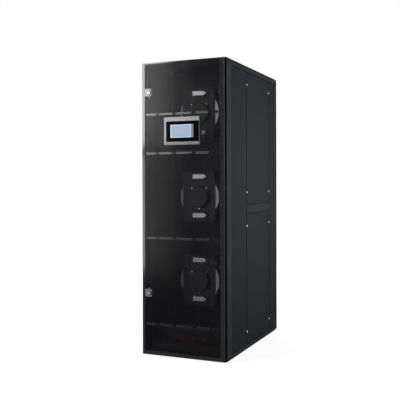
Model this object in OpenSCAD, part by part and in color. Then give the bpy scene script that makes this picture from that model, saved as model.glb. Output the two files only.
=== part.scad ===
// In-row cooling unit: a tall, narrow cabinet that stands between server racks.
// Origin at the centre of the footprint on the floor, +Z up, front door towards -Y.

/* [Cabinet] */
// Overall width
cab_w = 600; // [560:10:800]
// Overall depth over both doors
cab_d = 1200; // [1080:10:1320]
// Overall height
cab_h = 2000; // [1800:5:2200]
// Height of the skirt above the floor
skirt_gap = 8; // [4:1:12]
// Height of the exposed bottom rails
base_rail_h = 30; // [24:1:40]
// Height of the exposed top rails
top_rail_h = 36; // [30:1:50]
// Width of the corner posts
post_w = 30; // [28:1:36]
// Depth of the front posts
front_post_d = 94; // [80:1:100]
// Wall of the folded posts
post_wall = 2.5; // [1.5:0.5:3]
// Distance from the door face to the first side seam behind the front panel
side_seam = 446; // [440:1:460]
// Distance from the rear door face to the second side seam
rear_seam = 202; // [190:2:230]
// Height of the bar between the upper and lower side panels
mid_bar_h = 58; // [40:1:70]
// Height of the middle of that bar
mid_bar_z = 994; // [900:1:1100]
// Thickness of the sheet metal covers
sheet = 1.5; // [1:0.5:2]
// Depth of the covers' folded edges
tray_d = 14; // [10:1:20]
// Width of the seam round each cover
seam = 3; // [2:0.5:4]

/* [Doors] */
// Depth of the folded door frames
door_t = 24; // [22:1:26]
// How far locks and display stand proud of the door face
proud = 3; // [2:0.5:4]
// Gap between a closed door and the cabinet
door_gap = 7; // [7:0.5:9]
// Visible width of the frame on the lock side
lock_stile = 20; // [18:1:24]
// Visible width of the frame on the hinge side
hinge_stile = 34; // [34:1:40]
// Visible height of the frame's top
door_top = 16; // [14:1:24]
// Visible height of the frame's bottom
door_bottom = 26; // [20:1:34]
// Thickness of the frame's folded sheet
door_wall = 2; // [1.5:0.5:2.5]
// Overlap of the perforated sheet behind the frame
mesh_lap = 6; // [5:0.5:7]
// Number of perforations across
mesh_nx = 10; // [6:1:12]
// Number of perforations up the door
mesh_nz = 36; // [20:1:40]
// Width of the web between perforations
mesh_web = 9; // [6:1:12]
// Height of the stiffening bars
bar_h = 15; // [12:1:20]
// Depth of the stiffening bars
bar_d = 10; // [8:1:12]
// Radius of the hinge barrels
barrel_r = 8; // [7:0.5:8]
// Radius of the hinge pins
pin_r = 5; // [4:0.5:5]
// Height of each hinge
hinge_h = 96; // [80:2:110]

/* [Display] */
// Width of the dark panel in the bezel
panel_w = 238; // [200:2:266]
// Height of the dark panel in the bezel
panel_h = 126; // [100:2:140]
// Visible width of the bezel to the left of the panel
bezel_left = 22; // [10:1:26]
// Visible width of the bezel to the right of the panel
bezel_right = 4; // [3:1:22]
// Visible height of the bezel above the panel
bezel_top = 33.5; // [20:0.5:40]
// Visible height of the bezel below the panel
bezel_bottom = 30.5; // [20:0.5:40]
// Distance from the roof down to the middle of the display
display_drop = 479; // [460:1:500]

/* [Fans] */
// Height of the middle of the lowest fan
fan_z = 492; // [470:1:520]
// Distance from the roof down to the middle of the highest fan
fan_drop = 329; // [310:1:350]
// Outer radius of the impellers
fan_r = 146; // [140:1:160]
// Radius of the impellers' inlet eye
eye_r = 100; // [90:1:105]
// Number of blades
blades = 7; // [5:1:9]
// Width of a fan bracket's plate
bracket_w = 228; // [220:2:250]
// Height of a fan bracket's plate
bracket_h = 350; // [340:2:370]
// Radius of the motors
motor_r = 77; // [70:1:80]
// Radius of the motors' fixed shafts
shaft_r = 10; // [8:1:12]
// Length of the handles
handle_w = 100; // [90:1:120]
// Height of the handles
handle_h = 34; // [30:1:40]
// Distance from the front plane of the cabinet to the fan brackets
fan_depth = 266; // [240:1:280]

/* [Cooling coil] */
// Distance from the cabinet's left side to the fin pack
coil_side = 68; // [64:2:90]
// Length of the feeders between the fin pack and the headers
feeder_l = 68; // [60:2:90]
// Depth of the fin pack
coil_d = 150; // [120:2:170]
// Distance from the roof down to the fin pack's upper end
coil_drop = 130; // [120:2:200]
// Height of the fin pack's lower end
coil_z = 270; // [260:2:280]
// Number of grooves across each face
fin_n = 18; // [10:1:24]
// Radius of the headers
header_r = 21; // [18:1:24]
// Outer radius of the water pipes
pipe_r = 17; // [15:1:19]
// Wall of the water pipes
pipe_wall = 2; // [1.5:0.5:3]
// Bend radius of the water pipes
bend_r = 50; // [45:1:60]
// Thickness of the filters
filter_t = 46; // [40:1:50]
// Distance from the roof down to the upper end of the filters
filter_drop = 130; // [120:2:200]

/* [Feet and casters] */
// Radius of the levelling feet
foot_r = 20; // [16:1:24]
// Radius of the feet's threaded stems
stem_r = 8; // [6:1:8]
// Radius of the caster wheels
wheel_r = 29; // [25:1:30]
// Width of the caster wheels
wheel_w = 22; // [18:1:24]
// Height of the wheels above the floor while the feet carry the cabinet
wheel_lift = 3; // [2:0.5:5]
// Offset of the wheels from their swivel
trail = 22; // [18:1:24]

/* [Hidden] */

$fn = 64;
half_w = cab_w / 2;
half_d = cab_d / 2;
run = 0.05;  // radial clearance of a running fit
clear = 0.5; // clearance between pieces that move past each other
seat = 0.3;  // clearance round a piece that slides into its seat
joint = 0.2; // gap between members of the frame that are bolted together

// Doors, drawn for the front one. The rear one is the same door turned half round.
door_face = -half_d + proud;
door_back = door_face + door_t;
front_plane = door_back + door_gap;
rear_plane = -front_plane;
door_z0 = skirt_gap + 4;
door_z1 = cab_h - 4;
open_x0 = -half_w + lock_stile;
open_x1 = half_w - hinge_stile;
open_z0 = door_z0 + door_bottom;
open_z1 = door_z1 - door_top;
hinge_x = half_w - barrel_r - 3;
hinge_y = door_back - 9;
hinge_in = 190; // from the floor and the roof to the middle of the end hinges
hinge_zs = [hinge_in, cab_h / 2, cab_h - hinge_in];
lock_x = -half_w + 50;
lock_z = 430;
lock_drop = 206; // from the roof down to the upper locks
lock_zs = [lock_z, cab_h - lock_drop];
lock_r = 8;
lock_wall = 3.5;
lock_plate_w = 48;
lock_plate_h = 52;
lock_plate_dx = -6; // offset of the plate from the lock's axis
lock_corner = 4;
cam_w = 12;
cam_t = 4;
display_x = -9;
display_z = cab_h - display_drop;
bezel_w = panel_w + bezel_left + bezel_right;
bezel_h = panel_h + bezel_top + bezel_bottom;
panel_dx = (bezel_left - bezel_right) / 2; // from the middle of the bezel to the middle of the panel
panel_dz = (bezel_bottom - bezel_top) / 2;
bar_z0 = 205;    // lowest bar
bar_above = 124; // bars above and below the middle of the display
bar_below = 144;
bar_zs = [bar_z0, (bar_z0 + display_z - bar_below) / 2, display_z - bar_below, display_z + bar_above];

// Cabinet
rail_top = cab_h - 2;
top_rail_z = rail_top - top_rail_h;
base_rail_z1 = skirt_gap + base_rail_h;
frame_x = half_w - post_w;
post_y1 = front_plane + front_post_d;
face_in = 1.2; // side covers lie this far inside the frame's faces
cover_x = half_w - face_in;
seam_y = -half_d + side_seam;
access_y1 = half_d - rear_seam;
inner_post_w = 24;
inner_post_d = 44;
inner_x = cover_x - tray_d - inner_post_w; // half the clear width between the inner posts
mid_z0 = mid_bar_z - mid_bar_h / 2;
mid_z1 = mid_bar_z + mid_bar_h / 2;
deck_z = 96;
deck_t = 2;
keeper_t = 2;
keeper_w = 10;
keeper_d = 24;
keeper_h = 60;
cam_l = frame_x + lock_x - keeper_t - 1; // a cam passes 1 mm from its keeper's leg

// Fans
fan_pitch = (cab_h - fan_drop - fan_z) / 2;
fan_zs = [fan_z, fan_z + fan_pitch, fan_z + 2 * fan_pitch];
plate_y = front_plane + fan_depth;
plate_t = 3;
hub_h = 92;
disc_y = plate_y + 26;
disc_t = 3;
dish_r = 120; // the back disc is flat to here, and its rim is dished forwards
dish_d = 21;
blade_h = 72;
shroud_h = 30;
eye_gap = 16;
bulk_y = disc_y + blade_h + shroud_h + eye_gap;
bulk_t = 3;
bulk_hole_r = eye_r + 18;

// Cooling coil, headers to the right
coil_x0 = -half_w + coil_side;
header_x = half_w - 84;
coil_w = header_x - feeder_l - coil_x0;
coil_h = cab_h - coil_drop - coil_z;
coil_y0 = bulk_y + 62;
end_t = 3;
pan_h = 50;
pan_wall = 2;
pan_z = coil_z - 8 - pan_h;
row_pitch = 34;
row_ys = [for (k = [-1.5:1.5]) coil_y0 + coil_d / 2 + k * row_pitch];
header_ys = [row_ys[0], row_ys[3]];
header_z0 = coil_z - 6;
header_drop = 40;
header_z1 = coil_z + coil_h - header_drop;
tube_r = 6;
tube_n = 12;
tube_pitch = coil_h / tube_n;
filter_y = rear_plane - 90;
return_run = 120; // straight length of the return pipe along Y
supply_in = 144;  // from the filters to the supply pipe
stub_ys = [header_ys[0] + 2 * bend_r + return_run, filter_y - supply_in];
supply_z = header_z0 + 80;
valve_z = 900;
valve_h = 110;

// Filters
filter_w = cab_w - 100;
filter_z0 = 130;
filter_h = (cab_h - filter_drop - filter_z0 - seat) / 2;

// Feet and casters
caster_in = [95, 180]; // from the cabinet's side and the door's face
caster_x = half_w - caster_in[0];
caster_y = half_d - caster_in[1];
foot_in = [60, 100];
foot_x = half_w - foot_in[0];
foot_y = half_d - foot_in[1];
axle_z = wheel_lift + wheel_r;
raceway_z = deck_z - deck_t - 4;
fork_w = wheel_w + 8;
axle_r = 4;
pivot_r = 6;

steel_black = [0.13, 0.13, 0.14];
steel_grey = [0.55, 0.56, 0.58];
zinc = [0.7, 0.71, 0.73];
copper = [0.72, 0.42, 0.27];
plastic_black = [0.06, 0.06, 0.07];

// A closed box between two corners
module span(a, b) {
  translate(a) cube(b - a);
}

// A copy on each side of the middle
module both_sides() {
  for (side = [0, 1]) mirror([side, 0, 0]) children();
}

// What belongs to the rear door: the front one turned half round
module at_rear() {
  rotate([0, 0, 180]) children();
}

// A rectangle with round corners
module round_rect(w, h, r) {
  square([w - 2 * r, h], center = true);
  square([w, h - 2 * r], center = true);
  for (x = [-1, 1], y = [-1, 1])
    translate([x * (w / 2 - r), y * (h / 2 - r)]) circle(r);
}

// Turns a drawing in X and Z into a solid that runs from y towards the rear
module face_solid(y, t) {
  translate([0, y + t, 0]) rotate([90, 0, 0]) linear_extrude(t) children();
}

// A cylinder along Y that starts at y
module y_rod(r, y, l) {
  translate([0, y, 0]) rotate([-90, 0, 0]) cylinder(r = r, h = l);
}

// ---------- Cabinet ----------

// Hollow post between two corners, open at both ends
module post(a, b) {
  w = [post_wall, post_wall, 0];
  difference() {
    span(a, b);
    span(a + w - [0, 0, 1], b - w + [0, 0, 1]);
  }
}

// Folded channel between two corners, open below
module rail(a, b) {
  w = [post_wall, post_wall, 0];
  difference() {
    span(a, b);
    span(a + w - [0, 0, 1], b - w - [0, 0, post_wall]);
  }
}

// Rails of one side, with the posts between them, and the bar on the inner posts
module side_members() {
  w = post_wall;
  z0 = base_rail_z1 + joint;
  z1 = top_rail_z - joint;
  bar_x = -inner_x - inner_post_w - joint;
  rail([-half_w, front_plane, skirt_gap], [-frame_x, rear_plane, base_rail_z1]);
  rail([-half_w, front_plane, top_rail_z], [-frame_x, rear_plane, rail_top]);
  post([-half_w, front_plane, z0], [-frame_x, post_y1, z1]);
  post([-half_w, rear_plane - post_w, z0], [-frame_x, rear_plane, z1]);
  for (y = [seam_y, access_y1]) difference() {
    span([-inner_x - inner_post_w, y - inner_post_d / 2, deck_z], [-inner_x, y + inner_post_d / 2, z1]);
    span([-inner_x - inner_post_w + w, y - inner_post_d / 2 - 1, deck_z - 1],
         [-inner_x - w, y + inner_post_d / 2 - w, z1 + 1]);
  }
  difference() {
    span([-half_w, seam_y + seam / 2, mid_z0], [bar_x, access_y1 - seam / 2, mid_z1]);
    span([-half_w + w, seam_y + seam / 2 + w, mid_z0 + w],
         [bar_x + 1, access_y1 - seam / 2 - w, mid_z1 - w]);
  }
}

module cabinet_frame() {
  x = frame_x - joint;
  color(steel_black) {
    both_sides() side_members();
    for (y = [front_plane, rear_plane - post_w], z = [[skirt_gap, base_rail_z1], [top_rail_z, rail_top]])
      rail([-x, y, z[0]], [x, y + post_w, z[1]]);
  }
}

// Angles on the inner faces of the front door's posts; the lock's cams turn behind them
module keeper_set() {
  for (z = lock_zs) translate([-frame_x, front_plane, z - keeper_h / 2]) {
    cube([keeper_w, keeper_t, keeper_h]);
    cube([keeper_t, keeper_d, keeper_h]);
  }
}

module lock_keepers() {
  color(zinc) {
    keeper_set();
    at_rear() keeper_set();
  }
}

// Floor of the cabinet, a folded tray turned upside down
module base_plate() {
  y = rear_plane - post_w;
  color(steel_grey) difference() {
    span([-frame_x, -y, base_rail_z1 - 20], [frame_x, y, deck_z]);
    span([-frame_x + deck_t, -y + deck_t, base_rail_z1 - 21],
         [frame_x - deck_t, y - deck_t, deck_z - deck_t]);
  }
}

// Roof with two pipe holes and two cable openings
pipe_hole_r = pipe_r + 3;
cable_x = -half_w / 2;
cable_ys = [rear_plane - 386, rear_plane - 186];
cable_w = 150;
cable_h = 50;
module top_cover() {
  color(steel_black) difference() {
    span([-half_w, front_plane, rail_top], [half_w, rear_plane, cab_h]);
    for (y = stub_ys) translate([header_x, y, rail_top - 1]) cylinder(r = pipe_hole_r, h = 4);
    for (y = cable_ys) translate([cable_x, y, rail_top - 1])
      linear_extrude(4) round_rect(cable_w, cable_h, 15);
  }
}

// Folded cover on the side of the cabinet, between two corners given as [y, z]
module side_tray(a, b) {
  difference() {
    span([-cover_x, a[0] + seam / 2, a[1] + seam / 2],
         [-cover_x + tray_d, b[0] - seam / 2, b[1] - seam / 2]);
    span([-cover_x + sheet, a[0] + seam / 2 + sheet, a[1] + seam / 2 + sheet],
         [-cover_x + tray_d + 1, b[0] - seam / 2 - sheet, b[1] - seam / 2 - sheet]);
  }
}

panel_z0 = base_rail_z1;
panel_z1 = top_rail_z;

module side_front_panels() {
  color(steel_black) both_sides() side_tray([post_y1 - seam / 2, panel_z0], [seam_y, panel_z1]);
}

module side_upper_panels() {
  color(steel_black) both_sides() side_tray([seam_y, mid_z1], [access_y1, panel_z1]);
}

module side_lower_panels() {
  color(steel_black) both_sides() side_tray([seam_y, panel_z0], [access_y1, mid_z0]);
}

module side_rear_panels() {
  color(steel_black) both_sides()
    side_tray([access_y1, panel_z0], [rear_plane - post_w + seam / 2, panel_z1]);
}

// One screw at each corner of the four removable side panels
screw_in = 12;
screw_end = 90; // from the panels' lower and upper edges
screw_r = 7;
module side_panel_screws() {
  color(zinc) both_sides()
    for (y = [seam_y + screw_in, access_y1 - screw_in],
         z = [panel_z0 + screw_end, mid_z0 - screw_end, mid_z1 + screw_end, panel_z1 - screw_end])
      translate([-cover_x, y, z]) rotate([0, -90, 0]) cylinder(r = screw_r, h = face_in);
}

// ---------- Fans ----------

module fan_bulkhead() {
  color(zinc) face_solid(bulk_y, bulk_t) difference() {
    translate([-inner_x, deck_z]) square([2 * inner_x, rail_top - deck_z]);
    for (z = fan_zs) translate([0, z]) circle(bulk_hole_r);
  }
}

// Bell-mouthed ring that leads the air into an impeller's eye
module inlet_rings() {
  wall = 2;
  throat_r = eye_r - 4;
  bell_x = throat_r - wall + eye_gap;
  color(steel_grey) for (z = fan_zs) translate([0, bulk_y, z]) rotate([90, 0, 0])
    rotate_extrude() {
      translate([bell_x - 0.1, 0]) square([24.1, wall]);
      intersection() {
        translate([bell_x, eye_gap]) difference() {
          circle(eye_gap);
          circle(eye_gap - wall);
        }
        square([bell_x, eye_gap]);
      }
      translate([throat_r - wall, eye_gap - 0.1]) square([wall, 10]);
    }
}

leg = 14;
bracket_dx = -7; // from the fan's axis to the middle of its bracket
module fan_brackets() {
  color(steel_grey) for (z = fan_zs) translate([0, 0, z]) {
    face_solid(plate_y, plate_t) difference() {
      translate([bracket_dx, 0]) round_rect(bracket_w, bracket_h, 10);
      circle(motor_r - 9);
    }
    for (x = [-1, 1], s = [-1, 1])
      translate([bracket_dx + x * (bracket_w / 2 - leg / 2), 0, s * (bracket_h / 2 - leg / 2)])
        span([-leg / 2, plate_y + plate_t, -leg / 2], [leg / 2, bulk_y, leg / 2]);
  }
}

// Fixed half of an external rotor motor: round housing, flange and shaft
module fan_motors() {
  flange_t = 4;
  housing_h = 22;
  color(plastic_black) for (z = fan_zs) translate([0, 0, z]) {
    translate([0, plate_y - flange_t, 0]) rotate([90, 0, 0]) rotate_extrude()
      polygon([[0, 0], [motor_r, 0], [motor_r, housing_h - 8], [motor_r - 8, housing_h], [0, housing_h]]);
    y_rod(motor_r + 12, plate_y - flange_t, flange_t);
    y_rod(motor_r - 9.5, plate_y, 6);
    y_rod(shaft_r, plate_y + 6, hub_h - 12);
    for (a = [-42, 42, 180]) rotate([0, a, 0]) translate([0, 0, motor_r + 5])
      y_rod(4, plate_y - flange_t - 3, 4);
  }
}

// Bow handles above and below each motor, tapered at the right end
handle_off = 139;
handle_dx = 12;
handle_reach = 34;
handle_t = 3;
handle_leg = 8;
handle_taper = 15;
module fan_handles() {
  w = handle_w / 2;
  h = handle_h / 2;
  tip = w - handle_taper;
  color(zinc) for (z = fan_zs, s = [-1, 1])
    translate([handle_dx, plate_y - handle_reach, z + s * handle_off]) intersection() {
      translate([0, 0, -h]) linear_extrude(handle_h) difference() {
        translate([0, handle_reach / 2 + 4]) round_rect(handle_w, handle_reach + 8, 5);
        translate([0, handle_reach / 2 + 8])
          round_rect(handle_w - 2 * handle_leg, handle_reach + 16 - 2 * handle_t, 3);
      }
      face_solid(0, handle_reach)
        polygon([[-w, -h], [tip, -h], [w, -h / 3], [w, h / 3], [tip, h], [-w, h]]);
    }
}

// One backward-curved blade: its outline runs outwards along a spiral
blade_in = 84;
blade_out = fan_r - 5;
blade_t = 3;
blade_sweep = 46;
blade_steps = 6;
function spiral(t, side) =
  let (r = blade_in + (blade_out - blade_in) * t, a = -blade_sweep * t + side * blade_t / r * 180 / PI)
  [r * cos(a), r * sin(a)];
module blade() {
  translate([0, 0, -dish_d]) linear_extrude(blade_h + dish_d)
    polygon(concat([for (i = [0:blade_steps]) spiral(i / blade_steps, 0)],
                   [for (i = [blade_steps:-1:0]) spiral(i / blade_steps, 1)]));
}

// Centrifugal impeller with its rotor cup; the back disc faces the bracket
module impeller() {
  cup_r = motor_r - 11;
  rotate([-90, 0, 0]) difference() {
    union() {
      translate([0, 0, plate_y + 8]) cylinder(r = cup_r, h = disc_y - plate_y - 8);
      translate([0, 0, disc_y]) rotate_extrude() polygon([
        [0, 0], [dish_r, 0], [fan_r, -dish_d], [fan_r, disc_t - dish_d], [dish_r, disc_t], [0, disc_t]]);
      translate([0, 0, disc_y]) cylinder(r1 = cup_r, r2 = cup_r - 14, h = hub_h - 12);
      translate([0, 0, disc_y]) difference() {
        for (i = [0:blades - 1]) rotate([0, 0, i * 360 / blades]) blade();
        rotate_extrude() polygon([[0, -dish_d - 1], [0, disc_t / 2], [dish_r, disc_t / 2],
                                  [fan_r, disc_t / 2 - dish_d], [fan_r, -dish_d - 1]]);
      }
      translate([0, 0, disc_y + blade_h]) rotate_extrude()
        polygon([[fan_r, -12], [fan_r, -9], [eye_r + 14, 8], [eye_r + 3, shroud_h - 10],
                 [eye_r + 3, shroud_h], [eye_r, shroud_h], [eye_r, shroud_h - 11],
                 [eye_r + 12, 5]]);
    }
    translate([0, 0, plate_y]) cylinder(r = shaft_r + run, h = hub_h - 4);
  }
}

module impeller_lower() { color(steel_grey) translate([0, 0, fan_zs[0]]) impeller(); }
module impeller_middle() { color(steel_grey) translate([0, 0, fan_zs[1]]) impeller(); }
module impeller_upper() { color(steel_grey) translate([0, 0, fan_zs[2]]) impeller(); }

// ---------- Electrical box ----------

ebox_x = frame_x - 20;
ebox_in = 116; // from the front plane of the cabinet to the box's cover
ebox_y0 = front_plane + ebox_in;
ebox_y1 = plate_y + 110;
ebox_z1 = 205;
ebox_wall = 2;
module electrical_box() {
  w = ebox_wall;
  color(steel_black) difference() {
    span([-ebox_x, ebox_y0 + w, deck_z], [ebox_x, ebox_y1, ebox_z1]);
    span([-ebox_x + w, ebox_y0 + w - 1, deck_z + w], [ebox_x - w, ebox_y1 - w, ebox_z1 - w]);
  }
}

lamp_r = 6;
lamp_xs = [-73, 9, 94];
lamp_z = deck_z + 12.5;
module electrical_cover() {
  color(steel_black) difference() {
    span([-ebox_x, ebox_y0, deck_z], [ebox_x, ebox_y0 + ebox_wall, ebox_z1]);
    for (x = lamp_xs) translate([x, 0, lamp_z]) y_rod(lamp_r + run, ebox_y0 - 1, ebox_wall + 2);
  }
}

module phase_lamps() {
  color([0.75, 0.08, 0.06]) for (x = lamp_xs) translate([x, 0, lamp_z]) {
    y_rod(lamp_r, ebox_y0 - 4, 18);
    y_rod(lamp_r + 2, ebox_y0 - 2, 2);
  }
}

// ---------- Coil and water side ----------

module coil_fins() {
  groove_w = coil_w / fin_n / 2;
  groove_d = coil_d / 3;
  color([0.75, 0.77, 0.8]) translate([coil_x0, coil_y0, coil_z]) linear_extrude(coil_h) difference() {
    square([coil_w, coil_d]);
    for (i = [0:fin_n - 1], y = [-1, coil_d - groove_d])
      translate([(i + 0.25) * coil_w / fin_n, y]) square([groove_w, groove_d + 1]);
  }
}

// Side plates that carry the fins, stand in the pan and close the duct to the bulkhead
module coil_end_plates() {
  y0 = bulk_y + bulk_t;
  z1 = coil_z + coil_h + 8;
  color(zinc) for (x = [coil_x0 - end_t, coil_x0 + coil_w]) {
    span([x, y0 + pan_wall, pan_z + pan_wall], [x + end_t, coil_y0 + coil_d + 6, z1]);
    span([x, y0, pan_z + pan_h], [x + end_t, y0 + pan_wall + 1, z1]);
  }
}

// Return bends on the left, headers and feeders on the right
module coil_copper() {
  color(copper) {
    for (i = [0:tube_n - 1], k = [0, 2])
      translate([coil_x0 - end_t, row_ys[k] + row_pitch / 2, coil_z + (i + 0.5) * tube_pitch])
        rotate([0, 0, 90]) rotate_extrude(angle = 180)
          translate([row_pitch / 2, 0]) circle(tube_r, $fn = 24);
    for (y = header_ys) difference() {
      union() {
        translate([header_x, y, header_z0]) cylinder(r = header_r, h = header_z1 - header_z0);
        for (i = [0:tube_n - 1]) translate([coil_x0 + coil_w + end_t, y, coil_z + (i + 0.4) * tube_pitch])
          rotate([0, 90, 0]) cylinder(r = tube_r, h = header_x - coil_x0 - coil_w - end_t, $fn = 24);
      }
      translate([header_x, y, header_z0 + 2]) cylinder(r = header_r - 2, h = header_z1 - header_z0 - 4);
    }
  }
}

// Drain pan under the coil, on two folded bearers
pan_left = 24;  // how far the pan reaches past the fin pack
pan_right = 40;
pan_rear = 30;
bearer_w = 30;
bearer_in = 60;
module drain_pan() {
  x0 = coil_x0 - pan_left;
  x1 = coil_x0 + coil_w + pan_right;
  y0 = bulk_y + bulk_t;
  y1 = coil_y0 + coil_d + pan_rear;
  color(steel_grey) {
    difference() {
      span([x0, y0, pan_z], [x1, y1, pan_z + pan_h]);
      span([x0 + pan_wall, y0 + pan_wall, pan_z + pan_wall],
           [x1 - pan_wall, y1 - pan_wall, pan_z + pan_h + 1]);
    }
    for (x = [x0 + bearer_in, x1 - bearer_in - bearer_w]) difference() {
      span([x, y0, deck_z], [x + bearer_w, y1, pan_z]);
      span([x + pan_wall, y0 - 1, deck_z + pan_wall], [x + bearer_w + 1, y1 + 1, pan_z - pan_wall]);
    }
  }
}

pump_gap = 60; // from the pan to the pump's tank
tank_w = 140;
tank_d = 100;
tank_h = 60;
pump_r = 36;
pump_h = 50;
outlet_r = 8;
outlet_h = 24;
outlet_x = 52;
module condensate_pump() {
  y = coil_y0 + coil_d + pump_gap + tank_d / 2;
  color(plastic_black) translate([-half_w / 2, y, deck_z]) {
    translate([-tank_w / 2, -tank_d / 2, 0]) cube([tank_w, tank_d, tank_h]);
    translate([0, 0, tank_h]) cylinder(r = pump_r, h = pump_h);
    translate([outlet_x, 0, tank_h]) cylinder(r = outlet_r, h = outlet_h);
  }
}

// Straight length of pipe along Z
module pipe_z(x, y, z0, z1) {
  translate([x, y, z0]) difference() {
    cylinder(r = pipe_r, h = z1 - z0);
    translate([0, 0, -1]) cylinder(r = pipe_r - pipe_wall, h = z1 - z0 + 2);
  }
}

// Straight length of pipe along Y
module pipe_y(x, z, y0, y1) {
  translate([x, y0, z]) rotate([-90, 0, 0]) difference() {
    cylinder(r = pipe_r, h = y1 - y0);
    translate([0, 0, -1]) cylinder(r = pipe_r - pipe_wall, h = y1 - y0 + 2);
  }
}

// Quarter bend in the plane of Y and Z, centred at [y, z], from angle a
module pipe_bend(x, y, z, a) {
  translate([x, y, z]) rotate([0, 90, 0]) rotate([0, 0, a]) rotate_extrude(angle = 90)
    translate([bend_r, 0]) difference() {
      circle(pipe_r);
      circle(pipe_r - pipe_wall);
    }
}

module water_pipes() {
  return_z = header_z1 + bend_r;
  color(copper) {
    // return: up from its header, back, and up through the roof
    pipe_bend(header_x, header_ys[0] + bend_r, header_z1, 180);
    pipe_y(header_x, return_z, header_ys[0] + bend_r, stub_ys[0] - bend_r);
    pipe_bend(header_x, stub_ys[0] - bend_r, return_z + bend_r, 0);
    pipe_z(header_x, stub_ys[0], return_z + bend_r, cab_h);
    // supply: down from the roof through the valve, and forward into its header
    pipe_z(header_x, stub_ys[1], valve_z + valve_h, cab_h);
    pipe_z(header_x, stub_ys[1], supply_z + bend_r, valve_z);
    pipe_bend(header_x, stub_ys[1] - bend_r, supply_z + bend_r, 0);
    pipe_y(header_x, supply_z, header_ys[1] + header_r, stub_ys[1] - bend_r);
  }
}

module control_valve() {
  color([0.72, 0.6, 0.3]) translate([header_x, stub_ys[1], valve_z]) difference() {
    union() {
      for (z = [0, valve_h - 22]) translate([0, 0, z]) cylinder(r = pipe_r + 9, h = 22, $fn = 6);
      translate([0, 0, 20]) cylinder(r = pipe_r + 6, h = valve_h - 40);
      translate([0, 0, valve_h / 2]) rotate([0, -90, 0]) cylinder(r = 14, h = stem_l);
    }
    translate([0, 0, -1]) cylinder(r = pipe_r - pipe_wall, h = valve_h + 2);
  }
}

// Actuator on the valve's stem, with chamfered outer edges
actuator_l = 64;
actuator_w = 76;
actuator_z0 = -45;
actuator_z1 = 60;
stem_l = 40;
module valve_actuator() {
  color([0.85, 0.85, 0.83]) translate([header_x - stem_l, stub_ys[1], valve_z + valve_h / 2])
    difference() {
      span([-actuator_l, -actuator_w / 2, actuator_z0], [0, actuator_w / 2, actuator_z1]);
      for (s = [-1, 1]) translate([-actuator_l, s * actuator_w / 2, actuator_z0 - 5])
        cylinder(r = 8, h = actuator_z1 - actuator_z0 + 10, $fn = 4);
    }
}

// ---------- Filters ----------

module filter_frame() {
  wall = 2;
  grip = seat + wall;
  color(zinc) {
    both_sides() difference() {
      span([-filter_w / 2 - 12, filter_y - grip, deck_z],
           [-filter_w / 2 + 14, filter_y + filter_t + grip, rail_top]);
      span([-filter_w / 2 - 12 + wall, filter_y - seat, deck_z - 1],
           [-filter_w / 2 + 15, filter_y + filter_t + seat, rail_top + 1]);
    }
    span([-filter_w / 2 + 14, filter_y - grip, filter_z0 - 20],
         [filter_w / 2 - 14, filter_y + filter_t + grip, filter_z0 - seat]);
  }
}

// Pleated panel filters, one above the other
module filters() {
  rim = 24;
  pleats = 14;
  fold_w = (filter_w - 2 * rim) / pleats / 2;
  color([0.85, 0.86, 0.85]) for (k = [0, 1])
    translate([0, filter_y, filter_z0 + k * (filter_h + seat)]) {
      face_solid(0, filter_t) translate([0, filter_h / 2]) difference() {
        square([filter_w - 2, filter_h], center = true);
        square([filter_w - 2 * rim, filter_h - 2 * rim], center = true);
      }
      translate([-filter_w / 2 + rim, filter_t / 2, rim]) linear_extrude(filter_h - 2 * rim)
        polygon(concat([for (i = [0:2 * pleats]) [i * fold_w, i % 2 == 0 ? -12 : 8]],
                       [for (i = [2 * pleats:-1:0]) [i * fold_w, i % 2 == 0 ? -8 : 12]]));
    }
}

// ---------- Doors ----------

// Foam strips round the cabinet's openings
gasket_w = 12;
gasket_t = door_gap - clear;
gasket_in = 14; // from the door's lower and upper edges
module gasket_strips() {
  x0 = -half_w + 5;
  x1 = half_w - hinge_stile + mesh_lap + door_wall;
  z0 = door_z0 + gasket_in;
  z1 = door_z1 - gasket_in;
  inner = gasket_w + seat;
  face_solid(front_plane - gasket_t, gasket_t) {
    for (x = [x0, x1 - gasket_w]) translate([x, z0]) square([gasket_w, z1 - z0]);
    for (z = [z0, z1 - gasket_w]) translate([x0 + inner, z]) square([x1 - x0 - 2 * inner, gasket_w]);
  }
}

module door_gaskets() {
  color(plastic_black) {
    gasket_strips();
    at_rear() gasket_strips();
  }
}

// Fixed halves of the hinges with their pins; a door lifts off upwards
module leaf_set() {
  for (z = hinge_zs) translate([hinge_x, hinge_y, z]) {
    translate([0, 0, -hinge_h / 2]) cylinder(r = barrel_r, h = hinge_h / 2 - clear);
    translate([0, 0, -clear - 1]) cylinder(r = pin_r, h = hinge_h / 2 - 3);
    span([-6, 0, -hinge_h / 2], [6, front_plane - hinge_y, -clear]);
    span([-14, front_plane - hinge_y - 3, -hinge_h / 2], [6, front_plane - hinge_y, -clear]);
  }
}

module hinge_leaves() {
  color(steel_grey) {
    leaf_set();
    at_rear() leaf_set();
  }
}

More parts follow.
